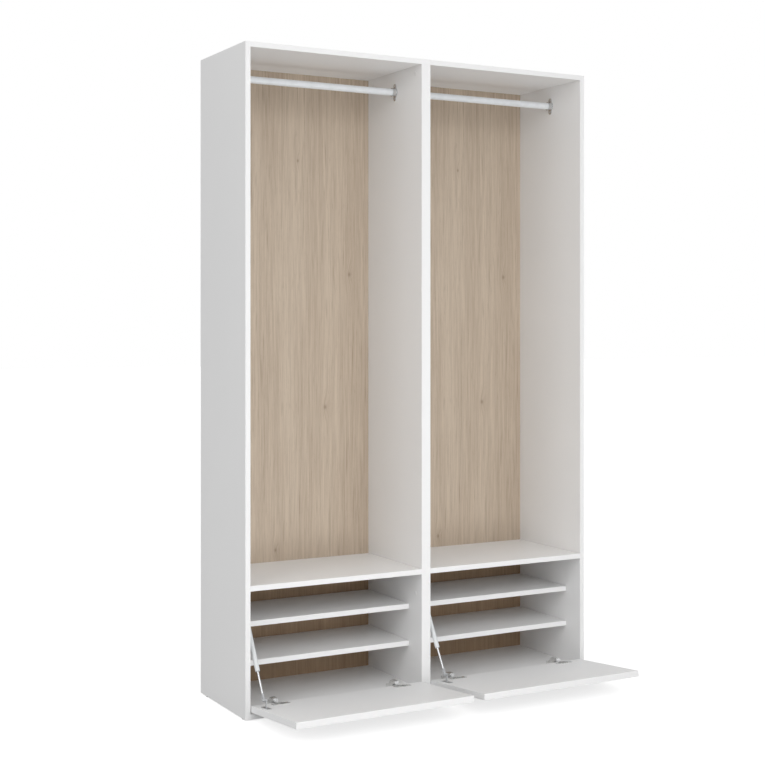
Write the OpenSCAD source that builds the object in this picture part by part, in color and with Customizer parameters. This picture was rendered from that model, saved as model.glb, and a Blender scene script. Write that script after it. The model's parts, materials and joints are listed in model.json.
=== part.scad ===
// Two tall open cabinets joined side by side. Each has a hanging bay with a clothes
// rail above, and a shelved bay below that a drop-down flap closes. The flap turns on
// two cup hinges and is held by one strut. It is drawn here in its open position.

/* [Cabinet] */
// Outside width of one cabinet
cabinet_w = 617; // [500:1:900]
// Height of the side panels
cabinet_h = 2000; // [1400:5:2400]
// Depth of the side panels, front to back
cabinet_d = 358; // [300:1:600]
// Thickness of the boards
board_t = 16; // [15:0.5:22]
// Thickness of the back panel
back_t = 3; // [2.5:0.5:6]
// Width of the rebate in each side panel that the back panel sits in
rebate_w = 8; // [5:0.5:10]
// Gap round the back panel's edge
back_gap = 0.5; // [0.2:0.1:2]

/* [Shelves] */
// Clear height of the lower bay, from bottom panel to fixed shelf
lower_bay_h = 362; // [340:1:500]
// Clear height below the lower shoe shelf
lower_shelf_gap = 122; // [100:1:160]
// Clear height between the two shoe shelves
upper_shelf_gap = 102; // [90:1:160]
// How far the shoe shelves stand back from the front edges
shelf_setback = 80; // [78:1:150]
// Gap at each end of a shoe shelf
shelf_end_gap = 0.5; // [0.2:0.1:2]
// Gap between a shoe shelf and the back panel
shelf_back_gap = 2; // [0.5:0.5:10]
// Diameter of a shelf pin
pin_d = 5; // [4:0.5:7]
// How far a shelf pin goes into the side panel
pin_depth = 9; // [6:0.5:12]
// How far a shelf pin stands out under the shelf
pin_reach = 9; // [6:0.5:15]
// Distance of the shelf pins from the front and back edges of the shelf
pin_inset = 45; // [25:1:70]

/* [Clothes rail] */
// Outside diameter of the rail
rail_d = 22; // [18:1:35]
// Wall of the rail tube
rail_wall = 1.2; // [0.8:0.1:2]
// Rail axis below the top panel
rail_drop = 66; // [45:1:120]
// Rail axis behind the front edges
rail_setback = 170; // [120:1:260]
// Gap all round between the rail and its sockets
rail_gap = 0.25; // [0.1:0.05:0.5]
// Wall of the ring that holds the rail's end
socket_wall = 2.5; // [2:0.5:5]
// Depth of that ring
socket_depth = 12; // [8:1:20]
// Thickness of the socket's oval flange
flange_t = 2.5; // [2:0.5:4]
// Distance of the flange's screws above and below the rail axis
flange_screw_rise = 20; // [19:0.5:30]

/* [Flap] */
// Height of the flap when it is shut
flap_h = 310; // [200:1:330]
// Thickness of the flap
flap_t = 19; // [16:1:22]
// Gap at the flap's sides and under it when it is shut
flap_gap = 2; // [1.5:0.5:4]
// How far the flap opens, in degrees
open_angle = 84.8; // [70:0.1:90]
// Hinge axis in front of the cabinet's front edges
axis_front = 2.9; // [2:0.1:5]
// Hinge axis above the bottom panel
axis_rise = 2.95; // [1:0.05:5]

/* [Cup hinges] */
// Hinge centre line from the side panel's inner face
hinge_inset = 85.5; // [70:0.5:160]
// Diameter of the hinge cup
cup_d = 35; // [26:1:35]
// Depth of the hinge cup
cup_depth = 12.5; // [11:0.5:13]
// Wall of the hinge cup
cup_wall = 0.8; // [0.6:0.1:1.2]
// Wood left between the cup and the flap's lower edge
cup_edge = 4.5; // [3:0.5:7]
// Width of the cup's flange
cup_flange_w = 56; // [52:1:64]
// Thickness of the cup's flange
cup_flange_t = 1.2; // [1:0.1:2]
// Spacing of the two cup screws
cup_screw_spacing = 45; // [42:1:52]
// Cup screws past the cup's centre, away from the flap's lower edge
cup_screw_offset = 9.5; // [6:0.5:10]
// Outside width of the hinge arm
arm_w = 16; // [14:0.5:18]
// Sheet thickness of the hinge arm
arm_t = 1.5; // [1:0.1:2]
// Link pivot behind the cabinet's front edges
link_pivot_y = 11; // [10.5:0.5:14]
// Link pivot above the bottom panel
link_pivot_rise = 30; // [26:0.5:34]
// Reach of the link's knuckle from its pivot
link_reach = 6.6; // [5:0.2:6.8]
// Front of the knuckle ahead of its pivot
link_front = 4.5; // [3:0.5:5]
// Thickness of the knuckle behind and above its pivot
link_back = 3.4; // [2.2:0.2:3.4]
// Gap beside the link inside the arm
link_gap = 0.5; // [0.3:0.1:1]
// Diameter of the link's pin
link_pin_d = 2; // [1.8:0.1:2.2]
// Mounting plate screws behind the cabinet's front edges
plate_setback = 37; // [32:1:45]
// Spacing of the two mounting plate screws
plate_screw_spacing = 32; // [30:1:40]

/* [Strut] */
// Strut's plane from the side panel's inner face
strut_inset = 16; // [14:0.5:24]
// Upper pivot behind the cabinet's front edges
strut_top_y = 67.6; // [60:0.2:70]
// Upper pivot above the bottom panel
strut_top_rise = 270; // [240:1:290]
// Lower pivot from the flap's lower edge, along the flap
strut_foot_along = 63; // [58:0.5:70]
// Lower pivot above the flap's inner face
strut_foot_height = 24; // [24:0.5:28]
// Outside diameter of the strut's cylinder
tube_d = 14; // [12:0.5:16]
// Wall of the strut's cylinder
tube_wall = 1; // [0.8:0.1:1.5]
// Length from the upper pivot to the cylinder's open end
tube_l = 164; // [150:1:170]
// Diameter of the piston rod
rod_d = 6; // [5:0.5:7]
// Length from the lower pivot to the piston rod's inner end
rod_l = 135; // [120:1:150]
// Width of the eyes at the strut's ends
eye_w = 8; // [6:0.5:10]
// Outside diameter of those eyes
eye_d = 10; // [8:0.5:10]
// Diameter of the pins through the eyes
stud_d = 5; // [4:0.5:6]
// Gap left between the lower pin and the flap bracket's ear
open_pivot_gap = 0.4; // [0.3:0.1:1]
// Radial clearance of every running fit
running_gap = 0.05; // [0.02:0.01:0.08]

/* [Fittings] */
// Diameter of a cam lock
cam_d = 15; // [12:1:15]
// Depth of a cam lock in its board
cam_depth = 12; // [11:0.5:13]
// Cam lock centre from the end of its board
cam_inset = 24; // [20:1:34]
// Diameter of a cam bolt's shank
bolt_d = 6; // [5:0.5:7]
// How far a cam bolt and a dowel go into the side panel
bolt_depth = 10; // [8:0.5:12]
// Diameter of a dowel
dowel_d = 8; // [6:1:8]
// Length of a dowel
dowel_l = 30; // [25:1:40]
// First and last cam from the front and back edges of a board
cam_edge = 50; // [35:1:90]
// Distance from a cam to the dowel beside it
cam_to_dowel = 32; // [25:1:64]
// Diameter of the sleeves that join the two cabinets
joiner_d = 6; // [5:0.5:8]
// Head diameter of those sleeves
joiner_head_d = 12; // [9:0.5:15]
// Sleeves from the front and back edges
joiner_edge = 40; // [30:1:80]
// Number of nails up each side of a back panel
nails_up = 9; // [5:1:14]
// Number of nails along the top, and along each board it covers
nails_across = 4; // [3:1:6]
// Length of a nail
nail_l = 18; // [12:1:22]

/* [Glides] */
// Height of a glide under a side panel
glide_h = 3; // [2:0.5:8]
// Diameter of a glide
glide_d = 14; // [10:0.5:15]
// Front glide behind the front edge
glide_front = 27; // [15:1:60]
// Rear glide in front of the back edge
glide_back = 47; // [15:1:70]

/* [Hidden] */
$fn = 48;
left = 0;
right = 1;

// Levels, measured up from the underside of the side panels
floor_z = board_t;
fixed_shelf_z = floor_z + lower_bay_h;
lower_shelf_z = floor_z + lower_shelf_gap;
upper_shelf_z = lower_shelf_z + board_t + upper_shelf_gap;
top_z = cabinet_h - board_t;
rail_z = top_z - rail_drop;
flange_tab_w = 16;

// Inside of one cabinet
inner_w = cabinet_w - 2 * board_t;
inner_d = cabinet_d - back_t;

// Hinge axis and the shut flap
axis_y = -axis_front;
axis_z = floor_z + axis_rise;
flap_z = floor_z + flap_gap;
flap_w = inner_w - 2 * flap_gap;
flap_rise = flap_z + flap_h - axis_z;
flap_reach = axis_front * (1 - cos(open_angle)) + flap_rise * sin(open_angle);
front_y = (flap_reach - cabinet_d) / 2;

// Cup hinges
hinge_x = [board_t + hinge_inset, cabinet_w - board_t - hinge_inset];
cup_z = flap_z + cup_edge + cup_d / 2;
cup_pin_d = 2;
cup_pin_y = flap_t - 6;
cup_pin_z = flap_z + cup_edge + cup_wall + 3;
cup_flange_h = 24;
cup_corner_r = 5;
link_pivot_z = floor_z + link_pivot_rise;
link_turn = pin_angle(0) - pin_angle(open_angle);
link_w = arm_w - 2 * arm_t - 2 * link_gap;
nose_r = 3.5;
roof_gap = 5;
plate_t = 2;
plate_wing_w = plate_screw_spacing + 16;
plate_wing_d = 14;
plate_block_w = arm_w - 2 * arm_t - 1;
plate_block_h = 6;
plate_block_l = 40;
plate_block_front = 8;
arm_chin_y = 22;
arm_chin_drop = 9;
arm_step_y = 32;
arm_shoulder_y = 36;
arm_slope_y = 50;
arm_slope_h = 18;
arm_end_y = 64;
arm_end_h = 16;
arm_screw_y = [44, 56];
arm_screw_l = [24, 17];
arm_screw_d = 5;
arm_foot_gap = 0.3;

// Strut pivots as [y, z] with the flap open
strut_x = board_t + strut_inset;
strut_top = [strut_top_y, floor_z + strut_top_rise];
strut_foot_shut = [flap_t + strut_foot_height, flap_z + strut_foot_along];
strut_foot = turned(strut_foot_shut, open_angle);
strut_l = norm(strut_foot - strut_top);
strut_angle = atan2(strut_foot[1] - strut_top[1], strut_foot[0] - strut_top[0]);

// Strut details
tube_bore_d = tube_d - 2 * tube_wall;
tube_head = 16;
guide_l = 9;
piston_l = 8;
eye_neck_d = 9;
eye_neck_l = 20;
rod_start = 8;
stud_plate_t = 2;
stud_plate_w = 14;
stud_plate_h = 52;
stud_screw_rise = 18;
stud_head_d = 9;
stud_head_t = 1.5;
ear_t = 2;
ear_x = strut_x + eye_w / 2 + stud_head_t + open_pivot_gap;
foot_plate_t = 1.5;
foot_plate_w = 14;
foot_plate_l = 48;
foot_plate_x = ear_x - 6;
foot_screw_spacing = 32;

// Screws: shank diameter and length, head diameter and height
screw_d = 3.5;
screw_l = 12;
screw_head_d = 7;
screw_head_t = 1.4;
cup_screw_l = 10;

// Cams, dowels, joining sleeves and nails
joint_z = [board_t / 2, fixed_shelf_z + board_t / 2, top_z + board_t / 2];
cam_y = [cam_edge, inner_d - cam_edge];
dowel_y = [cam_edge + cam_to_dowel, inner_d - cam_edge - cam_to_dowel];
cam_slot_gap = 0.3;
bolt_tip = 3;
bolt_reach = cam_inset + bolt_tip;
joiner_y = [joiner_edge, cabinet_d - joiner_edge];
joiner_z = [upper_shelf_z + board_t + 40, top_z - 25];
joiner_head_t = 1.2;
nail_d = 1.6;
nail_head_d = 4;
nail_head_t = 0.8;
nail_edge = rebate_w / 2;
nail_end = 60;
glide_peg_d = 4;
glide_peg_l = 12;
pin_y = [shelf_setback + pin_inset, inner_d - shelf_back_gap - pin_inset];

// ---- Placing ----

// A [y, z] point after the flap has turned by an angle about the hinge axis
function turned(p, a) = [
    axis_y + (p[0] - axis_y) * cos(a) - (p[1] - axis_z) * sin(a),
    axis_z + (p[0] - axis_y) * sin(a) + (p[1] - axis_z) * cos(a)
];

// Direction from the link's pivot to the cup's pin with the flap open by an angle
function pin_angle(a) =
    let (pin = turned([cup_pin_y, cup_pin_z], a))
    atan2(pin[1] - link_pivot_z, pin[0] - link_pivot_y);

// Puts a cabinet's own frame (left front corner of its side panel) in the whole
module in_cabinet(i)
    translate([(i - 1) * cabinet_w, front_y, glide_h]) children();

// The same piece in both cabinets
module in_both()
    for (i = [left, right])
        in_cabinet(i) children();

// The same piece at both ends of a cabinet, mirrored about its middle
module each_end() {
    children();
    opposite_end() children();
}

module opposite_end()
    translate([cabinet_w, 0, 0]) mirror([1, 0, 0]) children();

// Turns what is drawn on the shut flap to the open position
module opened()
    translate([0, axis_y, axis_z]) rotate([open_angle, 0, 0]) translate([0, -axis_y, -axis_z])
        children();

// Local z runs along the strut, from its upper pivot to its lower one
module along_strut()
    translate([strut_x, strut_top[0], strut_top[1]]) rotate([strut_angle - 90, 0, 0]) children();

// A cylinder along x, from the origin
module rod_x(d, l)
    rotate([0, 90, 0]) cylinder(d = d, h = l);

// A cylinder along y, from the origin
module rod_y(d, l)
    rotate([-90, 0, 0]) cylinder(d = d, h = l);

// A board from one corner
module board(x, y, z, w, d, h)
    translate([x, y, z]) cube([w, d, h]);

// A pan head screw that points down -z, with its head above the origin
module screw(l) {
    translate([0, 0, -l]) cylinder(d = screw_d, h = l);
    cylinder(d1 = screw_head_d, d2 = screw_head_d - 2, h = screw_head_t);
}

module screw_bore(l)
    translate([0, 0, -l]) cylinder(d = screw_d, h = l);

// ---- Positions shared by pieces and their holes ----

module at_cams()
    for (z = joint_z, y = cam_y)
        translate([board_t, y, z]) children();

module at_dowels()
    for (z = joint_z, y = dowel_y)
        translate([board_t, y, z]) children();

module at_shelf_pins()
    for (z = [lower_shelf_z, upper_shelf_z], y = pin_y)
        translate([board_t, y, z - pin_d / 2]) children();

module at_flange_screws()
    for (rise = [-flange_screw_rise, flange_screw_rise])
        translate([board_t + flange_t, rail_setback, rail_z + rise]) rotate([0, 90, 0]) children();

module at_strut_screws()
    for (rise = [-stud_screw_rise, stud_screw_rise])
        translate([board_t + stud_plate_t, strut_top[0], strut_top[1] + rise])
            rotate([0, 90, 0]) children();

module at_joiners()
    for (z = joiner_z, y = joiner_y)
        translate([0, y, z]) children();

module at_glides()
    for (y = [glide_front, cabinet_d - glide_back])
        translate([board_t / 2, y, 0]) children();

module at_side_nails()
    for (k = [0 : nails_up - 1])
        translate([
            board_t - nail_edge, cabinet_d,
            nail_end + k * (cabinet_h - 2 * nail_end) / (nails_up - 1)
        ]) rotate([90, 0, 0]) children();

module at_cross_nails()
    for (z = joint_z, k = [1 : nails_across])
        translate([k * cabinet_w / (nails_across + 1), cabinet_d, z]) rotate([90, 0, 0]) children();

module at_plate_screws()
    for (x = hinge_x, side = [-1, 1])
        translate([x + side * plate_screw_spacing / 2, plate_setback, floor_z + plate_t]) children();

module at_cup_screws()
    for (x = hinge_x, side = [-1, 1])
        translate([x + side * cup_screw_spacing / 2, flap_t + cup_flange_t, cup_z + cup_screw_offset])
            rotate([-90, 0, 0]) children();

module at_foot_screws()
    for (side = [-1, 1])
        translate([
            foot_plate_x + foot_plate_w / 2, flap_t + foot_plate_t,
            strut_foot_shut[1] + side * foot_screw_spacing / 2
        ]) rotate([-90, 0, 0]) children();

// ---- Boards ----

// Bores in a side panel for what joins it to the other boards
module side_bores() {
    at_cams() translate([-bolt_depth, 0, 0]) rod_x(bolt_d, bolt_depth + 1);
    at_dowels() translate([-bolt_depth, 0, 0]) rod_x(dowel_d, bolt_depth + 1);
    at_shelf_pins() translate([-pin_depth, 0, 0]) rod_x(pin_d, pin_depth + 1);
    at_flange_screws() screw_bore(screw_l);
    at_glides() cylinder(d = glide_peg_d, h = glide_peg_l);
    at_side_nails() cylinder(d = nail_d, h = nail_l);
}

module side_board()
    difference() {
        board(0, 0, 0, board_t, cabinet_d, cabinet_h);
        board(board_t - rebate_w, inner_d, -1, rebate_w + 1, back_t + 1, cabinet_h + 2);
        side_bores();
    }

module left_side(i)
    color("white") in_cabinet(i) difference() {
        side_board();
        at_strut_screws() screw_bore(screw_l);
        if (i == right)
            at_joiners() translate([-1, 0, 0]) rod_x(joiner_d, board_t + 2);
    }

module right_side(i)
    color("white") in_cabinet(i) difference() {
        opposite_end() side_board();
        if (i == left)
            at_joiners() translate([cabinet_w - board_t - 1, 0, 0]) rod_x(joiner_d, board_t + 2);
    }

// Bores in the end of a cross board whose middle is at level z; the cams go in from cam_side
module cross_bores(z, cam_side) {
    each_end() for (y = cam_y) {
        translate([board_t - 1, y, z]) rod_x(bolt_d + 1, bolt_reach + 2);
        translate([board_t + cam_inset, y, z + cam_side * board_t / 2])
            cylinder(d = cam_d, h = 2 * cam_depth, center = true);
    }
    each_end() for (y = dowel_y)
        translate([board_t - 1, y, z]) rod_x(dowel_d, dowel_l - bolt_depth + 1);
    at_cross_nails() cylinder(d = nail_d, h = nail_l);
}

module cross_board(z, cam_side)
    difference() {
        board(board_t, 0, z, inner_w, inner_d, board_t);
        cross_bores(z + board_t / 2, cam_side);
    }

module top_panel(i)
    color("white") in_cabinet(i) cross_board(top_z, 1);

module bottom_panel(i)
    color("white") in_cabinet(i) difference() {
        cross_board(0, -1);
        at_plate_screws() screw_bore(screw_l + plate_t);
    }

module fixed_shelf(i)
    color("white") in_cabinet(i) cross_board(fixed_shelf_z, -1);

module shoe_shelf(i, z)
    color("white") in_cabinet(i)
        board(
            board_t + shelf_end_gap, shelf_setback, z,
            inner_w - 2 * shelf_end_gap, inner_d - shelf_back_gap - shelf_setback, board_t
        );

module back_panel(i)
    color("tan") in_cabinet(i) difference() {
        board(
            board_t - rebate_w + back_gap, inner_d, back_gap,
            inner_w + 2 * (rebate_w - back_gap), back_t, cabinet_h - 2 * back_gap
        );
        each_end() at_side_nails() nail();
        at_cross_nails() nail();
    }

// ---- Hanging bay ----

module clothes_rail(i)
    color("lightgray") in_cabinet(i)
        translate([board_t + flange_t + rail_gap, rail_setback, rail_z]) difference() {
            rod_x(rail_d, inner_w - 2 * (flange_t + rail_gap));
            translate([-1, 0, 0]) rod_x(rail_d - 2 * rail_wall, inner_w + 2);
        }

// Oval flange outline: a ring's width with a rounded tab above and below for the screws
module flange_outline() {
    circle(d = rail_d + 2 * (rail_gap + socket_wall) + 4);
    for (rise = [-flange_screw_rise, flange_screw_rise])
        translate([rise, 0]) circle(d = flange_tab_w);
    square([2 * flange_screw_rise, flange_tab_w], center = true);
}

module rail_socket()
    translate([board_t, rail_setback, rail_z]) difference() {
        union() {
            rotate([0, 90, 0]) linear_extrude(flange_t) flange_outline();
            rod_x(rail_d + 2 * (rail_gap + socket_wall), flange_t + socket_depth);
        }
        translate([flange_t, 0, 0]) rod_x(rail_d + 2 * rail_gap, socket_depth + 1);
        for (rise = [-flange_screw_rise, flange_screw_rise])
            translate([-1, 0, rise]) rod_x(screw_d, flange_t + 2);
    }

module rail_sockets()
    color("silver") in_both() each_end() rail_socket();

module rail_socket_screws()
    color("gray") in_both() each_end() at_flange_screws() screw(screw_l);

// ---- Fittings ----

module shelf_pins()
    color("silver") in_both() each_end() at_shelf_pins()
        translate([-pin_depth, 0, 0]) rod_x(pin_d, pin_depth + pin_reach);

// A cam lock with the slot that takes the bolt's tip
module cam_lock(side)
    difference() {
        translate([0, 0, side * (board_t / 2 - cam_depth / 2)]) cylinder(d = cam_d, h = cam_depth, center = true);
        translate([-cam_d, 0, 0]) rod_x(bolt_d + 2 * cam_slot_gap, cam_d + bolt_tip + 1);
        translate([0, 0, side * board_t / 2]) cube([6, 1.2, 3], center = true);
    }

module cam_locks()
    color("silver") in_both() each_end() for (y = cam_y, k = [0, 1, 2])
        translate([board_t + cam_inset, y, joint_z[k]]) cam_lock(k == 2 ? 1 : -1);

module cam_bolts()
    color("silver") in_both() each_end() at_cams()
        translate([-bolt_depth, 0, 0]) rod_x(bolt_d, bolt_depth + bolt_reach);

module dowels()
    color("burlywood") in_both() each_end() at_dowels()
        translate([-bolt_depth, 0, 0]) rod_x(dowel_d, dowel_l);

// Sleeves through the two middle side panels, with a flat head at each end
module joining_sleeves()
    color("white") in_cabinet(right) at_joiners() {
        translate([-board_t, 0, 0]) rod_x(joiner_d, 2 * board_t);
        for (x = [-board_t - joiner_head_t, board_t])
            translate([x, 0, 0]) rod_x(joiner_head_d, joiner_head_t);
    }

// A nail along +z, with its flat head flush at the origin
module nail() {
    cylinder(d = nail_d, h = nail_l, $fn = 16);
    cylinder(d = nail_head_d, h = nail_head_t, $fn = 16);
}

module back_nails()
    color("gray") in_both() {
        each_end() at_side_nails() nail();
        at_cross_nails() nail();
    }

module glides()
    color("black") in_both() each_end() at_glides() {
        translate([0, 0, -glide_h]) cylinder(d1 = glide_d - 1, d2 = glide_d, h = glide_h);
        cylinder(d = glide_peg_d, h = glide_peg_l);
    }

// ---- Flap and hinges ----

module flap(i)
    color("white") in_cabinet(i) opened() difference() {
        board(board_t + flap_gap, 0, flap_z, flap_w, flap_t, flap_h);
        for (x = hinge_x)
            translate([x, flap_t - cup_depth, cup_z]) rod_y(cup_d, cup_depth + 1);
        at_cup_screws() screw_bore(cup_screw_l + cup_flange_t);
        at_foot_screws() screw_bore(screw_l);
    }

// Flange outline of the cup, in its own x and y
module cup_flange_outline() {
    long = cup_flange_w / 2 - cup_corner_r;
    short = cup_flange_h / 2 - cup_corner_r;
    circle(d = cup_d + 2);
    translate([0, cup_screw_offset / 2]) {
        square([cup_flange_w, 2 * short], center = true);
        square([2 * long, cup_flange_h], center = true);
        for (x = [-long, long], y = [-short, short])
            translate([x, y]) circle(r = cup_corner_r);
    }
}

module hinge_cup()
    difference() {
        union() {
            translate([0, -cup_depth, 0]) rod_y(cup_d, cup_depth);
            translate([0, cup_flange_t, 0]) rotate([90, 0, 0])
                linear_extrude(cup_flange_t) cup_flange_outline();
        }
        translate([0, cup_wall - cup_depth, 0]) rod_y(cup_d - 2 * cup_wall, cup_depth + cup_flange_t + 1);
        for (side = [-1, 1])
            translate([side * cup_screw_spacing / 2, -1, cup_screw_offset])
                rod_y(screw_d, cup_flange_t + 2);
    }

// The pin across the cup that a link's far end turns on
module cup_pin() {
    half = sqrt(pow(cup_d / 2 - cup_wall, 2) - pow(cup_z - cup_pin_z, 2));
    translate([-half, cup_pin_y - flap_t, cup_pin_z - cup_z]) rod_x(cup_pin_d, 2 * half);
}

module hinge_cups(i)
    color("silver") in_cabinet(i) opened() for (x = hinge_x)
        translate([x, flap_t, cup_z]) {
            hinge_cup();
            cup_pin();
        }

module cup_screws(i)
    color("gray") in_cabinet(i) opened() at_cup_screws() screw(cup_screw_l + cup_flange_t);

// Side view of the arm, as [y, z] measured from the front edge and the bottom panel
module arm_outline(drop) {
    polygon([
        [link_pivot_y, link_pivot_rise + nose_r - drop],
        [arm_shoulder_y, link_pivot_rise + nose_r - drop],
        [arm_slope_y, arm_slope_h - drop],
        [arm_end_y, arm_end_h - drop],
        [arm_end_y, plate_t + arm_foot_gap - drop],
        [arm_step_y, plate_t + arm_foot_gap - drop],
        [arm_chin_y, link_pivot_rise - arm_chin_drop - drop],
        [link_pivot_y, link_pivot_rise - nose_r - drop]
    ]);
    translate([link_pivot_y, link_pivot_rise - drop]) circle(r = nose_r);
}

// Extrudes a [y, z] outline across the hinge
module across(w)
    translate([-w / 2, 0, floor_z]) rotate([90, 0, 90]) linear_extrude(w) children();

// A folded channel: two cheeks and a roof that stops short of the link
module hinge_arm()
    difference() {
        across(arm_w) arm_outline(0);
        across(arm_w - 2 * arm_t) {
            arm_outline(arm_t);
            arm_outline(2 * arm_t);
            translate([0, -10]) square([arm_end_y + 1, link_pivot_rise - 2]);
            square([link_pivot_y + roof_gap, link_pivot_rise + nose_r + 1]);
            translate([arm_end_y - 8, 0]) square([10, arm_end_h - arm_t]);
        }
        translate([-arm_w / 2 - 1, link_pivot_y, link_pivot_z]) rod_x(link_pin_d, arm_w + 2);
        for (y = arm_screw_y)
            translate([0, y, floor_z + 10]) cylinder(d = arm_screw_d, h = 30);
    }

module hinge_arms()
    color("silver") in_both() for (x = hinge_x)
        translate([x, 0, 0]) hinge_arm();

module hinge_pins()
    color("gray") in_both() for (x = hinge_x)
        translate([x - arm_w / 2, link_pivot_y, link_pivot_z]) rod_x(link_pin_d, arm_w);

module hinge_plates()
    color("silver") in_both() difference() {
        for (x = hinge_x)
            translate([x, plate_setback, floor_z]) {
                translate([-plate_wing_w / 2, -plate_wing_d / 2, 0])
                    cube([plate_wing_w, plate_wing_d, plate_t]);
                translate([-plate_block_w / 2, -plate_block_front, 0])
                    cube([plate_block_w, plate_block_l, plate_block_h]);
            }
        at_plate_screws() translate([0, 0, -plate_t - 1]) cylinder(d = screw_d, h = plate_t + 2);
        for (x = hinge_x, y = arm_screw_y)
            translate([x, y, floor_z - 1]) cylinder(d = arm_screw_d, h = plate_block_h + 2);
    }

module hinge_plate_screws()
    color("gray") in_both() at_plate_screws() screw(screw_l + plate_t);

// The fixing and the adjusting screw that stand in the plate and pass through the arm's roof
module hinge_arm_screws()
    color("gray") in_both() for (x = hinge_x, k = [0, 1])
        translate([x, arm_screw_y[k], floor_z + 1]) cylinder(d = arm_screw_d, h = arm_screw_l[k]);

// Side view of the link's knuckle, as [y, z] about its pivot: a rounded block with an upright front
// and a top that lies along the cup's flange when the flap is shut
module link_outline()
    intersection() {
        circle(r = link_reach);
        translate([-link_front, -link_reach])
            square([link_front + link_back / 2, link_reach + link_back]);
        rotate(-link_turn) translate([-link_back, -link_reach]) square(2 * link_reach);
    }

// The link turns on the arm's pin
module hinge_links(i)
    color("silver") in_cabinet(i) for (x = hinge_x)
        translate([x - link_w / 2, link_pivot_y, link_pivot_z]) difference() {
            rotate([90, 0, 90]) linear_extrude(link_w) link_outline();
            translate([-1, 0, 0]) rod_x(link_pin_d + 2 * running_gap, link_w + 2);
        }

// ---- Strut ----

// A plate on the side panel with the stud that carries the strut's upper eye
module strut_side_brackets()
    color("silver") in_both() difference() {
        translate([board_t, strut_top[0], strut_top[1]]) {
            rotate([0, 90, 0]) linear_extrude(stud_plate_t) stud_plate_outline();
            rod_x(stud_d, strut_inset + eye_w / 2 + running_gap + stud_head_t);
            translate([strut_inset + eye_w / 2 + running_gap, 0, 0]) rod_x(stud_head_d, stud_head_t);
            rod_x(stud_head_d, strut_inset - eye_w / 2 - running_gap);
        }
        at_strut_screws() translate([0, 0, -stud_plate_t - 1]) cylinder(d = screw_d, h = stud_plate_t + 2);
    }

module stud_plate_outline() {
    reach = stud_plate_h / 2 - stud_plate_w / 2;
    square([2 * reach, stud_plate_w], center = true);
    for (x = [-reach, reach])
        translate([x, 0]) circle(d = stud_plate_w);
}

module strut_side_screws()
    color("gray") in_both() at_strut_screws() screw(screw_l);

module strut_cylinder(i)
    color("gainsboro") in_cabinet(i) along_strut() translate([0, 0, tube_head]) difference() {
        cylinder(d = tube_d, h = tube_l - tube_head);
        translate([0, 0, tube_wall]) cylinder(d = tube_bore_d, h = tube_l - tube_head - tube_wall - guide_l);
        translate([0, 0, tube_l - tube_head - guide_l - 1])
            cylinder(d = rod_d + 2 * running_gap, h = guide_l + 2);
    }

// The neck of an eye, flat at the sides where the eye is
module eye_neck(l)
    intersection() {
        cylinder(d = eye_neck_d, h = l);
        translate([-eye_w / 2, -eye_d, 0]) cube([eye_w, 2 * eye_d, l]);
    }

// The upper eye, whose neck closes the cylinder's head
module strut_top_eye(i)
    color("gray") in_cabinet(i) along_strut() difference() {
        union() {
            translate([-eye_w / 2, 0, 0]) rod_x(eye_d, eye_w);
            eye_neck(tube_head);
        }
        translate([-eye_w, 0, 0]) rod_x(stud_d + 2 * running_gap, 2 * eye_w);
    }

// Piston rod with its piston inside the cylinder
module strut_rod(i)
    color("silver") in_cabinet(i) along_strut() {
        translate([0, 0, strut_l - rod_l]) cylinder(d = rod_d, h = rod_l - rod_start);
        translate([0, 0, strut_l - rod_l]) cylinder(d = tube_bore_d - 2 * running_gap, h = piston_l);
    }

module strut_rod_eye(i)
    color("gray") in_cabinet(i) along_strut() translate([0, 0, strut_l]) difference() {
        union() {
            translate([-eye_w / 2, 0, 0]) rod_x(eye_d, eye_w);
            translate([0, 0, -eye_neck_l]) eye_neck(eye_neck_l);
        }
        translate([0, 0, -eye_neck_l - 1]) cylinder(d = rod_d, h = eye_neck_l - rod_start + 1);
        translate([-eye_w, 0, 0]) rod_x(stud_d, 2 * eye_w);
    }

// The lower pin rides in the rod's eye and stops just short of the flap bracket's ear
module strut_pin(i)
    color("silver") in_cabinet(i) along_strut() translate([0, 0, strut_l]) {
        translate([-eye_w / 2, 0, 0]) rod_x(stud_d, eye_w + stud_head_t);
        for (x = [-eye_w / 2 - stud_head_t, eye_w / 2])
            translate([x, 0, 0]) rod_x(stud_head_d, stud_head_t);
    }

// A plate screwed to the flap's inner face, with an upright ear beside the strut's eye
module flap_bracket(i)
    color("silver") in_cabinet(i) opened() difference() {
        union() {
            board(
                foot_plate_x, flap_t, strut_foot_shut[1] - foot_plate_l / 2,
                foot_plate_w, foot_plate_t, foot_plate_l
            );
            board(ear_x, flap_t, strut_foot_shut[1] - eye_d / 2, ear_t, strut_foot_height, eye_d);
            translate([ear_x, strut_foot_shut[0], strut_foot_shut[1]]) rod_x(eye_d, ear_t);
        }
        at_foot_screws() translate([0, 0, -foot_plate_t - 1]) cylinder(d = screw_d, h = foot_plate_t + 2);
        at_foot_screws() countersink();
    }

// A cone that is flush with the bracket
module countersink()
    translate([0, 0, -foot_plate_t]) cylinder(d1 = screw_d, d2 = screw_head_d, h = foot_plate_t);

module flap_bracket_screws(i)
    color("gray") in_cabinet(i) opened() at_foot_screws() {
        translate([0, 0, -screw_l]) cylinder(d = screw_d, h = screw_l);
        countersink();
    }

// ---- Nodes ----

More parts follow.
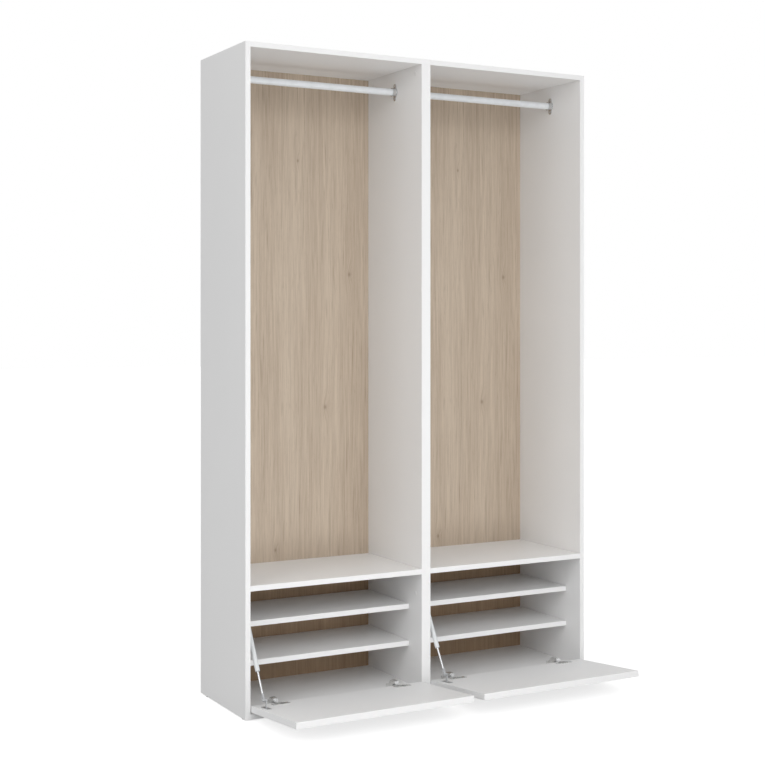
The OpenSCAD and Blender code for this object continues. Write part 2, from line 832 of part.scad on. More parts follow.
left_side(left);  // left_cabinet_left_side
right_side(left);  // left_cabinet_right_side
left_side(right);  // right_cabinet_left_side
right_side(right);  // right_cabinet_right_side
top_panel(left);  // left_top_panel
top_panel(right);  // right_top_panel
bottom_panel(left);  // left_bottom_panel
bottom_panel(right);  // right_bottom_panel
fixed_shelf(left);  // left_fixed_shelf
fixed_shelf(right);  // right_fixed_shelf
shoe_shelf(left, upper_shelf_z);  // left_upper_shoe_shelf
shoe_shelf(right, upper_shelf_z);  // right_upper_shoe_shelf
shoe_shelf(left, lower_shelf_z);  // left_lower_shoe_shelf
shoe_shelf(right, lower_shelf_z);  // right_lower_shoe_shelf
back_panel(left);  // left_back_panel
back_panel(right);  // right_back_panel
clothes_rail(left);  // left_clothes_rail
clothes_rail(right);  // right_clothes_rail
rail_sockets();
rail_socket_screws();
shelf_pins();
cam_locks();
cam_bolts();
dowels();
joining_sleeves();
back_nails();
glides();
flap(left);  // left_flap
flap(right);  // right_flap
hinge_arms();
hinge_plates();
hinge_plate_screws();
hinge_arm_screws();
hinge_pins();
hinge_cups(left);  // left_hinge_cups
hinge_cups(right);  // right_hinge_cups
cup_screws(left);  // left_cup_screws
cup_screws(right);  // right_cup_screws
hinge_links(left);  // left_hinge_links
hinge_links(right);  // right_hinge_links
strut_side_brackets();
strut_side_screws();
strut_cylinder(left);  // left_strut_cylinder
strut_cylinder(right);  // right_strut_cylinder
strut_top_eye(left);  // left_strut_top_eye
strut_top_eye(right);  // right_strut_top_eye
strut_rod(left);  // left_strut_rod
strut_rod(right);  // right_strut_rod
strut_rod_eye(left);  // left_strut_rod_eye
strut_rod_eye(right);  // right_strut_rod_eye
strut_pin(left);  // left_strut_pin
strut_pin(right);  // right_strut_pin
flap_bracket(left);  // left_flap_bracket
flap_bracket(right);  // right_flap_bracket
flap_bracket_screws(left);  // left_flap_bracket_screws
flap_bracket_screws(right);  // right_flap_bracket_screws
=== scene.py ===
"""Looks for two open cabinets joined side by side, with clothes rails, shoe shelves and drop-down flaps."""
import json
import math

import bmesh
import bpy
from mathutils import Matrix, Vector


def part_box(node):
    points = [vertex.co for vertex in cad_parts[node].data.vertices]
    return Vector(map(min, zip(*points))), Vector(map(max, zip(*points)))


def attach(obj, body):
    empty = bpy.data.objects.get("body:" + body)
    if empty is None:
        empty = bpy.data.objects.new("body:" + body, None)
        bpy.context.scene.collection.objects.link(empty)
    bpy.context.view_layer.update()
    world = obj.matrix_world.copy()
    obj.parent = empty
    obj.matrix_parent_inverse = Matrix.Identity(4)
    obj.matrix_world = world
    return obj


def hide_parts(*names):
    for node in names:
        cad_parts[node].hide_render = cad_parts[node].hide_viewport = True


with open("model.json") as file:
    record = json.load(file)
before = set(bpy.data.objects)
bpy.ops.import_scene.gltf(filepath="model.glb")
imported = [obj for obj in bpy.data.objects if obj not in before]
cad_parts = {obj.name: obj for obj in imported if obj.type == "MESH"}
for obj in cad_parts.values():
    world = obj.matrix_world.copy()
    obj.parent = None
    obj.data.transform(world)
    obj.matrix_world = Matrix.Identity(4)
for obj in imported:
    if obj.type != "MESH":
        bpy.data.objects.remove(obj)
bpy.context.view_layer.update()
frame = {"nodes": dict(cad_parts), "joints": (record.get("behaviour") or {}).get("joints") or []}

MM = 0.001
SIDES = ("left", "right")

# ---- Places taken from the frame ----

BOARD_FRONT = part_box("left_cabinet_left_side")[0].y
SHELF_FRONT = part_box("left_lower_shoe_shelf")[0].y
BACK_LOW, BACK_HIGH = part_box("left_back_panel")
BACK_MID_Y = (BACK_LOW.y + BACK_HIGH.y) / 2
LOW_BAY_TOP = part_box("left_fixed_shelf")[0].z


def joint(name):
    return next(j for j in frame["joints"] if j["name"] == name)


OPEN_ANGLE = math.radians(joint("left_flap_hinge")["range_deg"][1])
FLAP_NORMAL = Vector((0, math.cos(OPEN_ANGLE), math.sin(OPEN_ANGLE)))
FLAP_ALONG = Vector((0, -math.sin(OPEN_ANGLE), math.cos(OPEN_ANGLE)))

# ---- Camera, light and floor ----

CAMERA_AT = Vector((-2.2571, -3.8360, 1.1793))
CAMERA_YAW = math.radians(28.85)
LENS_MM = 66.1
SENSOR_MM = 36
SHIFT_UP = -0.0808


def add_camera():
    """A level camera whose lens is shifted, so that upright edges stay upright."""
    data = bpy.data.cameras.new("camera")
    data.lens = LENS_MM
    data.sensor_width = SENSOR_MM
    data.shift_y = SHIFT_UP
    camera = bpy.data.objects.new("camera", data)
    camera.location = CAMERA_AT
    camera.rotation_euler = (math.pi / 2, 0, -CAMERA_YAW)
    bpy.context.scene.collection.objects.link(camera)
    bpy.context.scene.camera = camera


def add_area_light(name, at, towards, size, power):
    """A square soft box that faces a point and stays out of the picture."""
    data = bpy.data.lights.new(name, "AREA")
    data.size = size
    data.energy = power
    light = bpy.data.objects.new(name, data)
    light.location = at
    light.rotation_euler = (Vector(towards) - Vector(at)).to_track_quat("-Z", "Y").to_euler()
    light.visible_camera = False
    bpy.context.scene.collection.objects.link(light)


HORIZON_Z = 0.05
SKY_Z = 0.45


def add_world(horizon, sky):
    """A white surround, dimmer near the horizon, that looks white behind the object."""
    world = bpy.data.worlds.new("studio")
    world.use_nodes = True
    nodes, links = world.node_tree.nodes, world.node_tree.links
    coords = nodes.new("ShaderNodeTexCoord")
    height = nodes.new("ShaderNodeSeparateXYZ")
    level = nodes.new("ShaderNodeMapRange")
    level.interpolation_type = "SMOOTHSTEP"
    level.inputs["From Min"].default_value = HORIZON_Z
    level.inputs["From Max"].default_value = SKY_Z
    level.inputs["To Min"].default_value = horizon
    level.inputs["To Max"].default_value = sky
    path = nodes.new("ShaderNodeLightPath")
    shown = nodes.new("ShaderNodeMix")
    shown.inputs["B"].default_value = 1.0
    links.new(coords.outputs["Generated"], height.inputs["Vector"])
    links.new(height.outputs["Z"], level.inputs["Value"])
    links.new(path.outputs["Is Camera Ray"], shown.inputs["Factor"])
    links.new(level.outputs["Result"], shown.inputs["A"])
    links.new(shown.outputs["Result"], nodes["Background"].inputs["Strength"])
    nodes["Background"].inputs["Color"].default_value = (1, 1, 1, 1)
    bpy.context.scene.world = world


# ---- Node materials ----


class Shader:
    """A node material that is being built. Each method adds a node and returns its output."""

    def __init__(self, name, **constants):
        self.material = bpy.data.materials.new(name)
        self.material.use_nodes = True
        self.nodes = self.material.node_tree.nodes
        self.links = self.material.node_tree.links
        self.surface = self.nodes["Principled BSDF"]
        self.coords = self.nodes.new("ShaderNodeTexCoord")
        for socket, value in constants.items():
            self.surface.inputs[socket.replace("_", " ")].default_value = value

    def feed(self, socket, value):
        if isinstance(value, bpy.types.NodeSocket):
            self.links.new(value, socket)
        else:
            socket.default_value = value

    def add(self, kind, inputs, output=0, **settings):
        node = self.nodes.new("ShaderNode" + kind)
        for key, value in settings.items():
            setattr(node, key, value)
        for key, value in inputs.items():
            self.feed(node.inputs[key], value)
        return node.outputs[output]

    def place(self, origin=(0, 0, 0)):
        """The point on the piece, measured from an origin in the row frame."""
        return self.add(
            "VectorMath", {0: self.coords.outputs["Object"], 1: origin}, operation="SUBTRACT"
        )

    def scaled(self, vector, by):
        return self.add("VectorMath", {0: vector, 1: by}, operation="MULTIPLY")

    def axis(self, vector, name):
        return self.add("SeparateXYZ", {0: vector}, output=name)

    def join(self, x, y, z):
        return self.add("CombineXYZ", {0: x, 1: y, 2: z})

    def noise(self, vector, scale, detail, roughness=0.5):
        inputs = {"Vector": vector, "Scale": scale, "Detail": detail, "Roughness": roughness}
        return self.add("TexNoise", inputs, output="Fac")

    def sum(self, a, b):
        return self.add("Math", {0: a, 1: b}, operation="ADD")

    def times(self, a, b):
        return self.add("Math", {0: a, 1: b}, operation="MULTIPLY")

    def calc(self, operation, a, b=0.0):
        return self.add("Math", {0: a, 1: b}, operation=operation)

    def ramp(self, value, low, high, out_low=0.0, out_high=1.0):
        inputs = {
            "Value": value, "From Min": low, "From Max": high, "To Min": out_low, "To Max": out_high
        }
        return self.add("MapRange", inputs)

    def mix(self, share, a, b, blend="MIX"):
        """A mix of two colours, which are sockets 6 and 7 of the node; output 2 is their mix."""
        inputs = {0: share, 6: colour(a), 7: colour(b)}
        return self.add("Mix", inputs, output=2, data_type="RGBA", blend_type=blend)

    def finish(self, base, roughness, height=None, bump_mm=0.0):
        """Wires up the surface. A height is given with the depth of its bumps."""
        self.feed(self.surface.inputs["Base Color"], base)
        self.feed(self.surface.inputs["Roughness"], roughness)
        if height is not None:
            bump = self.add("Bump", {"Height": height, "Distance": bump_mm * MM})
            self.feed(self.surface.inputs["Normal"], bump)
        return self.material


def colour(value):
    """A colour socket as it is, or three numbers with their alpha."""
    return value if isinstance(value, bpy.types.NodeSocket) else (*value, 1.0)


WHITE = (0.86, 0.86, 0.86)
BAND_WHITE = (0.89, 0.89, 0.89)
BAND_T = 0.8 * MM
GLUE_LINE = (0.45, 0.44, 0.42)
GLUE_LINE_W = 0.12 * MM
FACE_BUMP_MM = 0.06
CHIP_LIGHT = (0.50, 0.38, 0.25)
CHIP_DARK = (0.23, 0.15, 0.09)


def chipboard(shader, place):
    """Colour of a raw sawn edge: pressed chips of wood."""
    chips = shader.noise(shader.scaled(place, (1, 1, 0.35)), 900, 5, 0.7)
    return shader.mix(shader.ramp(chips, 0.38, 0.62), CHIP_DARK, CHIP_LIGHT)


def banded_face(shader, place, to_edge):
    """Colour, roughness and height of a white face whose edge band ends in a fine glue line."""
    pearl = shader.noise(place, 1400, 2, 0.4)
    cloud = shader.noise(place, 3.1, 2)
    off_line = shader.calc("ABSOLUTE", shader.sum(to_edge, -BAND_T))
    glue_line = shader.ramp(off_line, 0, GLUE_LINE_W, 1, 0)
    face = shader.mix(shader.ramp(cloud, 0.3, 0.7), [c * 0.985 for c in WHITE], WHITE)
    banded = shader.mix(shader.calc("LESS_THAN", to_edge, BAND_T), face, BAND_WHITE)
    lined = shader.mix(shader.times(glue_line, 0.35), banded, GLUE_LINE)
    height = shader.sum(shader.times(pearl, 0.25), shader.times(glue_line, -0.6))
    return lined, shader.ramp(pearl, 0.3, 0.7, 0.40, 0.50), height


def melamine(name, front):
    """White melamine-faced board with an edge band along its front and raw edges at the back."""
    shader = Shader(name, IOR=1.45)
    place = shader.place((0, front, 0))
    lined, roughness, height = banded_face(shader, place, shader.axis(place, "Y"))
    facing = shader.axis(shader.coords.outputs["Normal"], "Y")
    raw = shader.calc("GREATER_THAN", facing, 0.9)
    base = shader.mix(raw, lined, chipboard(shader, place))
    return shader.finish(base, shader.sum(roughness, shader.times(raw, 0.35)), height, FACE_BUMP_MM)


def span(node, direction):
    """How far a CAD node reaches along a direction, as its two ends."""
    reach = [vertex.co.dot(direction) for vertex in frame["nodes"][node].data.vertices]
    return min(reach), max(reach)


def to_ends(shader, node, direction):
    """Distance from a point of a CAD node to the nearer of its two ends along a direction."""
    low, high = span(node, direction)
    at = shader.add(
        "VectorMath", {0: shader.place(), 1: direction}, output="Value", operation="DOT_PRODUCT"
    )
    return shader.calc("MINIMUM", shader.sum(at, -low), shader.calc("SUBTRACT", high, at))


def flap_melamine(name, node):
    """The flap's board, with an edge band along all four edges."""
    shader = Shader(name, IOR=1.45)
    across = to_ends(shader, node, Vector((1, 0, 0)))
    to_edge = shader.calc("MINIMUM", across, to_ends(shader, node, FLAP_ALONG))
    return shader.finish(*banded_face(shader, shader.place(), to_edge), FACE_BUMP_MM)


# Knots of the oak print: across and up from the panel's lower left corner, and their size
KNOTS = [
    (0.092, 1.545, 0.013),
    (0.105, 0.905, 0.012),
    (0.430, 0.890, 0.010),
    (0.330, 1.700, 0.007),
    (0.520, 1.330, 0.009),
    (0.250, 0.430, 0.008),
]
OAK_LIGHT = (0.600, 0.500, 0.395)
OAK_MID = (0.415, 0.325, 0.245)
OAK_DARK = (0.235, 0.168, 0.115)
# Painted shade: the print is multiplied by this below the fixed shelf, which darkens the low bay to a nearly
# brown tone. The print is multiplied by this below the fixed shelf, to match the photo's nearly brown tone
# there
LOW_BAY_PAINTED_SHADE = (0.70, 0.58, 0.46)
FIBRE_LIGHT = (0.33, 0.22, 0.13)
FIBRE_DARK = (0.20, 0.125, 0.07)


def bump_at(shader, across, up, centre, radius, tall):
    """A round hill of height 1 at a point, stretched upwards."""
    dx = shader.times(shader.sum(across, -centre[0]), 1 / radius)
    dz = shader.times(shader.sum(up, -centre[1]), 1 / (radius * tall))
    squared = shader.sum(shader.times(dx, dx), shader.times(dz, dz))
    return shader.calc("EXPONENT", shader.times(squared, -1))


def grain_course(shader, place, across, up):
    """A distance across the grain. It is constant along a fibre, and fibres bend round the knots."""
    sway = shader.noise(shader.scaled(place, (1.0, 0, 0.22)), 4.0, 2)
    course = shader.sum(across, shader.ramp(sway, 0, 1, -0.012, 0.012))
    for x, z, size in KNOTS:
        swell = bump_at(shader, across, up, (x, z), size * 1.5, 2.6)
        course = shader.sum(course, shader.times(swell, size * 1.2))
    return course


def streaks(shader, course, up, fine, tall, seed, detail=2.0):
    """Noise drawn out along the fibres: so many streaks to a metre across and up."""
    at = shader.join(shader.times(course, fine), seed, shader.times(up, tall))
    return shader.noise(at, 1.0, detail, 0.55)


def oak(name, origin):
    """Light oak print with upright grain, knots and pores, and painted shade below the fixed shelf. The rear
    is bare hardboard.
    """
    shader = Shader(name, IOR=1.45)
    place = shader.place(origin)
    across, up = shader.axis(place, "X"), shader.axis(place, "Z")
    course = grain_course(shader, place, across, up)
    hearts = 0.0
    halos = 0.0
    for x, z, size in KNOTS:
        hearts = shader.sum(hearts, bump_at(shader, across, up, (x, z), size * 0.50, 1.4))
        halos = shader.sum(halos, bump_at(shader, across, up, (x, z), size * 1.8, 2.4))
    drift = shader.noise(shader.scaled(place, (1, 0, 0.35)), 3.5, 2)
    bands = streaks(shader, course, up, 16, 0.45, 1.7)
    lines = streaks(shader, course, up, 75, 1.6, 5.1)
    hairs = streaks(shader, course, up, 260, 7, 9.3, 3)
    flecks = streaks(shader, course, up, 130, 6, 13.9)
    cracks = streaks(shader, course, up, 60, 3.2, 21.6)
    pores = streaks(shader, course, up, 780, 26, 17.2)
    tone = shader.ramp(bands, 0.3, 0.7, 0.10, 0.46)
    tone = shader.sum(tone, shader.ramp(drift, 0.3, 0.7, -0.10, 0.10))
    tone = shader.sum(tone, shader.ramp(lines, 0.3, 0.7, -0.16, 0.22))
    tone = shader.sum(tone, shader.ramp(hairs, 0.3, 0.7, -0.26, 0.32))
    tone = shader.sum(tone, shader.times(halos, 0.22))
    wood = shader.mix(shader.ramp(tone, 0, 1), OAK_LIGHT, OAK_MID)
    wood = shader.mix(shader.ramp(flecks, 0.60, 0.76, 0, 0.38), wood, OAK_DARK)
    wood = shader.mix(shader.ramp(cracks, 0.66, 0.80, 0, 0.50), wood, OAK_DARK)
    wood = shader.mix(shader.ramp(pores, 0.60, 0.70, 0, 0.30), wood, OAK_DARK)
    wood = shader.mix(shader.ramp(hearts, 0, 1, 0, 0.62), wood, OAK_DARK)
    # Painted shade: below the fixed shelf the print is darkened, because the low bay lies in shade there
    on_frame = shader.coords.outputs["Object"]
    low_bay_shade_mask = shader.calc("LESS_THAN", shader.axis(on_frame, "Z"), LOW_BAY_TOP)
    painted_shade_wood = shader.mix(1.0, wood, LOW_BAY_PAINTED_SHADE, "MULTIPLY")
    wood = shader.mix(low_bay_shade_mask, wood, painted_shade_wood)
    behind = shader.calc("GREATER_THAN", shader.axis(on_frame, "Y"), BACK_MID_Y)
    felt = shader.noise(shader.scaled(place, (1, 1, 0.8)), 420, 5, 0.75)
    hardboard = shader.mix(shader.ramp(felt, 0.35, 0.65), FIBRE_DARK, FIBRE_LIGHT)
    base = shader.mix(behind, wood, hardboard)
    roughness = shader.sum(shader.ramp(hairs, 0.3, 0.7, 0.46, 0.56), shader.times(behind, 0.25))
    height = shader.sum(shader.ramp(pores, 0.60, 0.70, 0, -1), shader.times(hairs, 0.35))
    return shader.finish(base, roughness, height, FACE_BUMP_MM)


ROUGH_SPREAD = 0.10


def metal(name, tint, rough, brushed=(1, 1, 1), grain=900, bump=0.02, bare=1.0):
    """A plated or brushed metal, whose grain runs along the axis with the small factor.

    bare is how metallic it is, from 0 to 1.
    """
    shader = Shader(name, Metallic=bare)
    lines = shader.noise(shader.scaled(shader.place(), brushed), grain, 4, 0.6)
    smudge = shader.noise(shader.place(), 45, 3)
    base = shader.mix(shader.ramp(smudge, 0.3, 0.7), [c * 0.93 for c in tint], tint)
    roughness = shader.sum(
        shader.ramp(lines, 0.3, 0.7, rough - ROUGH_SPREAD / 2, rough + ROUGH_SPREAD / 2),
        shader.ramp(smudge, 0.3, 0.7, 0, ROUGH_SPREAD / 2),
    )
    return shader.finish(base, roughness, lines, bump)


def plastic(name, tint, rough):
    """A moulded plastic with a fine sparked texture."""
    shader = Shader(name, IOR=1.48)
    spark = shader.noise(shader.place(), 1100, 3, 0.6)
    base = shader.mix(shader.ramp(spark, 0.3, 0.7), [c * 0.92 for c in tint], tint)
    return shader.finish(base, shader.ramp(spark, 0.3, 0.7, rough - 0.06, rough + 0.06), spark, 0.04)


def paint(name, tint, rough):
    """Stove enamel with a faint orange peel."""
    shader = Shader(name, Coat_Weight=0.3, Coat_Roughness=0.15)
    peel = shader.noise(shader.place(), 650, 2, 0.4)
    drift = shader.noise(shader.place(), 25, 2)
    base = shader.mix(shader.ramp(drift, 0.3, 0.7), [c * 0.97 for c in tint], tint)
    return shader.finish(base, shader.ramp(peel, 0.3, 0.7, rough - 0.04, rough + 0.04), peel, 0.03)


def beech(name):
    """Plain beech with short dark flecks, for the dowels."""
    shader = Shader(name)
    along = shader.scaled(shader.place(), (0.05, 1, 1))
    fleck = shader.noise(along, 1500, 3, 0.6)
    base = shader.mix(shader.ramp(fleck, 0.45, 0.7), (0.66, 0.47, 0.29), (0.42, 0.27, 0.15))
    return shader.finish(base, shader.ramp(fleck, 0.3, 0.7, 0.5, 0.7), fleck, 0.05)


def add_floor(size, white, glow):
    """A plain pale floor. What the camera sees of it also glows, so that it fades into the background."""
    mesh = bpy.data.meshes.new("floor")
    half = size / 2
    corners = [(-half, -half, 0), (half, -half, 0), (half, half, 0), (-half, half, 0)]
    mesh.from_pydata(corners, [], [(0, 1, 2, 3)])
    floor = bpy.data.objects.new("floor", mesh)
    bpy.context.scene.collection.objects.link(floor)
    shader = Shader("floor")
    shader.surface.inputs["Emission Color"].default_value = (1, 1, 1, 1)
    seen = shader.add("LightPath", {}, output="Is Camera Ray")
    shader.feed(shader.surface.inputs["Emission Strength"], shader.times(seen, glow))
    grain = shader.noise(shader.place(), 40, 3)
    base = shader.mix(grain, [white * 0.98] * 3, [white] * 3)
    mesh.materials.append(shader.finish(base, shader.ramp(grain, 0, 1, 0.75, 0.85)))


# ---- CAD nodes ----


def dress(node, material):
    """Gives a CAD node its material."""
    piece = frame["nodes"][node]
    if not piece.material_slots:
        piece.data.materials.append(material)
    for slot in piece.material_slots:
        slot.material = material


def crisp_group(name, angle):
    """A node group that shades smooth, with a sharp edge wherever faces meet at more than an angle."""
    group = bpy.data.node_groups.new(name, "GeometryNodeTree")
    group.interface.new_socket("Geometry", in_out="INPUT", socket_type="NodeSocketGeometry")
    group.interface.new_socket("Geometry", in_out="OUTPUT", socket_type="NodeSocketGeometry")
    nodes, links = group.nodes, group.links
    start, end = nodes.new("NodeGroupInput"), nodes.new("NodeGroupOutput")
    bare = nodes.new("GeometryNodeRemoveAttribute")
    bare.inputs["Name"].default_value = "custom_normal"
    faces = nodes.new("GeometryNodeSetShadeSmooth")
    edges = nodes.new("GeometryNodeSetShadeSmooth")
    edges.domain = "EDGE"
    edges.inputs["Shade Smooth"].default_value = False
    fold = nodes.new("GeometryNodeInputMeshEdgeAngle")
    sharp = nodes.new("FunctionNodeCompare")
    sharp.operation = "GREATER_THAN"
    sharp.inputs["B"].default_value = math.radians(angle)
    links.new(fold.outputs["Unsigned Angle"], sharp.inputs["A"])
    links.new(sharp.outputs["Result"], edges.inputs["Selection"])
    for a, b in ((start, bare), (bare, faces), (faces, edges), (edges, end)):
        links.new(a.outputs["Geometry"], b.inputs["Geometry"])
    return group


FLAT_DEG = 5
ROUND_DEG = 24
FLAT = crisp_group("flat_faces", FLAT_DEG)
ROUND = crisp_group("round_faces", ROUND_DEG)


def crisp(piece, group):
    piece.modifiers.new("crisp", "NODES").node_group = group


WELD_GAP = 0.003 * MM
COPLANAR_DEG = 0.4
BEVEL_DEG = 35


def soften(node, width, segments, shading):
    """Rounds a CAD node's edges with modifiers; its mesh stays as it is."""
    piece = frame["nodes"][node]
    weld = piece.modifiers.new("weld", "WELD")
    weld.merge_threshold = WELD_GAP
    flat = piece.modifiers.new("flat", "DECIMATE")
    flat.decimate_type = "DISSOLVE"
    flat.angle_limit = math.radians(COPLANAR_DEG)
    bevel = piece.modifiers.new("bevel", "BEVEL")
    bevel.width = width
    bevel.segments = segments
    bevel.limit_method = "ANGLE"
    bevel.angle_limit = math.radians(BEVEL_DEG)
    bevel.use_clamp_overlap = False
    crisp(piece, shading)


# ---- Screws ----

HEAD_T = 1.4 * MM
# The cross recess: half the width and half the length of its arms, its depth, and the share of
# that depth lost by the head's rim
RECESS_W = 0.55 * MM
RECESS_L = 2.1 * MM
RECESS_DEEP = 1.0 * MM
RECESS_RISE = 0.55
# How far the head falls towards its rim, and once more at the rim, as shares of its thickness
DOME_FALL = 0.22
RIM_FALL = 0.18
PITCH = 1.1 * MM
THREAD = 0.28 * MM
RINGS_PER_TURN = 4
ROUND_STEPS = 48
# Points closer than this are one point of a solid
SAME_POINT = 0.002 * MM
# How far each screw of a node is turned on from the one before, and the first one, in radians
TURN_STEP = 0.7
FIRST_TURN = 0.3
# Radii of the head's rings, as shares of its own
HEAD_RINGS = (0.02, 0.10, 0.15, 0.20, 0.30, 0.45, 0.60, 0.66, 0.80, 0.92, 1.0)


def solids(mesh):
    """The separate solids of a mesh, each as a list of its points."""
    work = bmesh.new()
    work.from_mesh(mesh)
    bmesh.ops.remove_doubles(work, verts=work.verts, dist=SAME_POINT)
    work.verts.index_update()
    work.verts.ensure_lookup_table()
    seen, found = set(), []
    for first in range(len(work.verts)):
        if first in seen:
            continue
        seen.add(first)
        queue, points = [first], []
        while queue:
            vertex = work.verts[queue.pop()]
            points.append(vertex.co.copy())
            for edge in vertex.link_edges:
                other = edge.other_vert(vertex).index
                if other not in seen:
                    seen.add(other)
                    queue.append(other)
        found.append(points)
    work.free()
    return found


def screw_place(points, axis):
    """Where a CAD screw sits: centre of its head's top, direction outwards, length, head and shank radius."""
    along = [point.dot(axis) for point in points]
    low, high = min(along), max(along)
    flat = [point - axis * point.dot(axis) for point in points]
    centre = Vector([(min(c) + max(c)) / 2 for c in zip(*flat)])
    third = (high - low) / 3
    near_low = max((f - centre).length for f, a in zip(flat, along) if a < low + third)
    near_high = max((f - centre).length for f, a in zip(flat, along) if a > high - third)
    if near_high > near_low:
        return centre + axis * high, axis, high - low, near_high, near_low
    return centre + axis * low, -axis, high - low, near_low, near_high


def in_cross(x, y):
    return (abs(x) < RECESS_W and abs(y) < RECESS_L) or (abs(y) < RECESS_W and abs(x) < RECESS_L)


def screw_shape(length, head_r, shank_r):
    """Rings of points of a cross-head screw, from the middle of its head down its threaded shank."""
    rings = []
    for share in HEAD_RINGS:
        radius = head_r * share
        dome = -DOME_FALL * HEAD_T * share * share - (RIM_FALL * HEAD_T if share == 1.0 else 0)
        ring = []
        for k in range(ROUND_STEPS):
            angle = 2 * math.pi * k / ROUND_STEPS
            x, y = radius * math.cos(angle), radius * math.sin(angle)
            deep = RECESS_DEEP * (1 - RECESS_RISE * share) if in_cross(x, y) else 0
            ring.append((x, y, dome - deep))
        rings.append(ring)
    turns = (length - HEAD_T) / PITCH
    rim, underside = (head_r, -0.75 * HEAD_T), (head_r * 0.94, -HEAD_T)
    levels = [rim, underside, (shank_r * 0.8, -HEAD_T - 0.02 * MM)]
    for level in range(int(turns * RINGS_PER_TURN) + 1):
        levels.append((None, -HEAD_T - PITCH * (level + 0.5) / RINGS_PER_TURN))
    for radius, z in levels:
        ring = []
        for k in range(ROUND_STEPS):
            angle = 2 * math.pi * k / ROUND_STEPS
            crest = abs(((z / PITCH - k / ROUND_STEPS) % 1.0) * 2 - 1) ** 2 * THREAD
            r = radius if radius else shank_r - THREAD + crest
            ring.append((r * math.cos(angle), r * math.sin(angle), max(z, -length)))
        rings.append(ring)
    return rings


def add_screws(node, body, axis, material):
    """Cross-head screws in place of a node's plain ones."""
    verts, faces = [], []
    for number, points in enumerate(solids(frame["nodes"][node].data)):
        top, out, length, head_r, shank_r = screw_place(points, axis)
        spin = Matrix.Rotation(TURN_STEP * number + FIRST_TURN, 3, "Z")
        turn = out.to_track_quat("Z", "Y").to_matrix() @ spin
        rings = screw_shape(length, head_r, shank_r)
        start, steps = len(verts), len(rings[0])
        verts += [top + turn @ Vector(point) for ring in rings for point in ring]
        for row in range(len(rings) - 1):
            for k in range(steps):
                a, b = start + row * steps + k, start + row * steps + (k + 1) % steps
                faces.append((a, a + steps, b + steps, b))
        faces.append([start + k for k in range(steps)])
        last = start + (len(rings) - 1) * steps
        faces.append([last + k for k in reversed(range(steps))])
    mesh = bpy.data.meshes.new(node + "_cross_head")
    mesh.from_pydata(verts, [], faces)
    mesh.materials.append(material)
    piece = bpy.data.objects.new(node + "_cross_head", mesh)
    bpy.context.scene.collection.objects.link(piece)
    crisp(piece, ROUND)
    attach(piece, body)
    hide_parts(node)


# ---- The parts ----

BOARD_EDGE = 0.5 * MM
FLAP_EDGE = 0.7 * MM
FITTING_EDGE = 0.2 * MM


def boards():
    carcass = melamine("melamine", BOARD_FRONT)
    shelf = melamine("melamine_shelf", SHELF_FRONT)
    for side in SIDES:
        for part in ("cabinet_left_side", "cabinet_right_side", "top_panel", "bottom_panel", "fixed_shelf"):
            dress(f"{side}_{part}", carcass)
            soften(f"{side}_{part}", BOARD_EDGE, 3, FLAT)
        for part in ("upper_shoe_shelf", "lower_shoe_shelf"):
            dress(f"{side}_{part}", shelf)
            soften(f"{side}_{part}", BOARD_EDGE, 3, FLAT)
        dress(f"{side}_flap", flap_melamine(f"melamine_{side}_flap", f"{side}_flap"))
        soften(f"{side}_flap", FLAP_EDGE, 3, FLAT)
        dress(f"{side}_back_panel", oak(f"oak_{side}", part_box(f"{side}_back_panel")[0]))


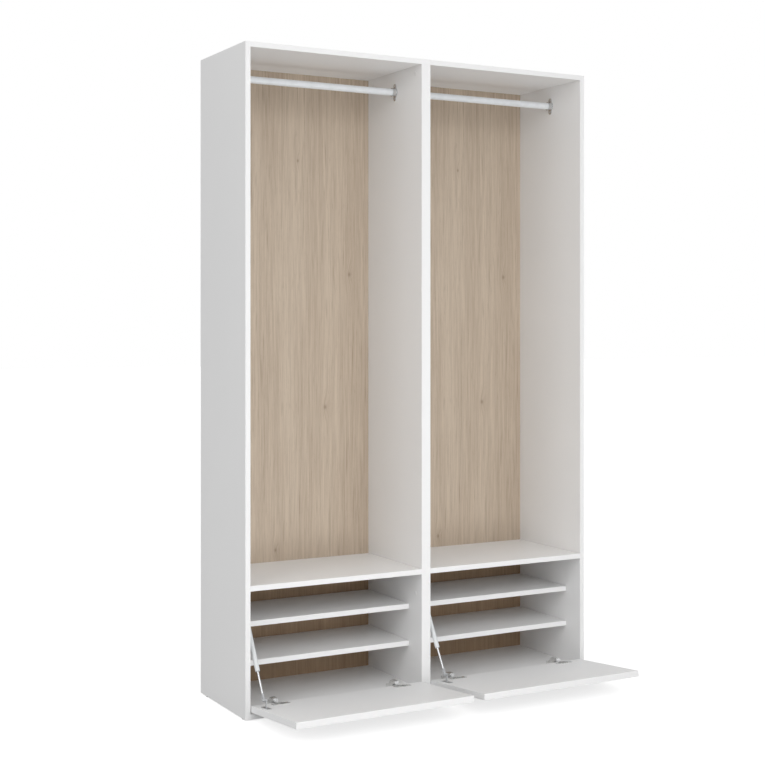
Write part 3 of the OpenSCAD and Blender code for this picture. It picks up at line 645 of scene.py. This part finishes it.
def fittings():
    rail = metal("rail_satin", (0.86, 0.89, 0.92), 0.38, (0.02, 1, 1), 1500, bare=0.12)
    socket = metal("socket_bright", (0.74, 0.75, 0.76), 0.20)
    nickel = metal("nickel", (0.80, 0.80, 0.79), 0.24, bare=0.85)
    # Painted highlight: the hinge links get a paler, less metallic copy of the nickel, which stands in for
    # the light their nose reflects
    painted_highlight_nickel = metal("nose_painted_highlight", (0.90, 0.91, 0.92), 0.22, bare=0.3)
    zinc = metal("zinc", (0.62, 0.63, 0.64), 0.32)
    steel = metal("screw_steel", (0.52, 0.52, 0.53), 0.28)
    cast = metal("cast_zinc", (0.55, 0.56, 0.57), 0.42, grain=700, bump=0.05)
    rod = metal("rod_steel", (0.66, 0.67, 0.68), 0.20)
    enamel = paint("strut_enamel", (0.72, 0.74, 0.75), 0.34)
    grey = plastic("strut_plastic", (0.40, 0.41, 0.42), 0.45)
    black = plastic("glide_plastic", (0.03, 0.03, 0.03), 0.5)
    white = plastic("sleeve_plastic", (0.82, 0.82, 0.82), 0.4)
    looks = {
        "left_clothes_rail": rail, "right_clothes_rail": rail, "rail_sockets": socket,
        "rail_socket_screws": steel, "shelf_pins": steel, "cam_locks": cast, "cam_bolts": steel,
        "dowels": beech("beech"), "joining_sleeves": white, "back_nails": steel, "glides": black,
        "hinge_arms": nickel, "hinge_plates": nickel, "hinge_plate_screws": steel,
        "hinge_arm_screws": steel, "hinge_pins": steel, "strut_side_brackets": zinc,
        "strut_side_screws": steel,
    }
    for side in SIDES:
        looks |= {
            f"{side}_hinge_cups": nickel, f"{side}_cup_screws": steel, f"{side}_hinge_links": painted_highlight_nickel,
            f"{side}_strut_cylinder": enamel, f"{side}_strut_top_eye": grey, f"{side}_strut_rod": rod,
            f"{side}_strut_rod_eye": grey, f"{side}_strut_pin": zinc, f"{side}_flap_bracket": zinc,
            f"{side}_flap_bracket_screws": steel,
        }
    for node, look in looks.items():
        dress(node, look)
        soften(node, FITTING_EDGE, 1, ROUND)
    across, upright = Vector((1, 0, 0)), Vector((0, 0, 1))
    add_screws("rail_socket_screws", "cabinets", across, steel)
    add_screws("strut_side_screws", "cabinets", across, steel)
    add_screws("hinge_plate_screws", "cabinets", upright, steel)
    for side in SIDES:
        add_screws(f"{side}_cup_screws", f"{side}_flap_body", FLAP_NORMAL, steel)
        add_screws(f"{side}_flap_bracket_screws", f"{side}_flap_body", FLAP_NORMAL, steel)


add_camera()
add_world(horizon=0.30, sky=0.82)
add_area_light("key", at=(-0.8, -4.0, 2.6), towards=(0.1, 0, 1.1), size=2.2, power=43)
add_area_light("low_fill", at=(-0.2, -1.5, 0.04), towards=(-0.2, -0.5, 2.0), size=1.6, power=22)
add_area_light("side_fill", at=(-4.0, -1.7, 2.5), towards=(0, -0.2, 1.2), size=2.2, power=29)
add_floor(size=60, white=0.55, glow=0.72)
bpy.context.scene.view_settings.view_transform = "Standard"

boards()
fittings()

bpy.context.view_layer.update()
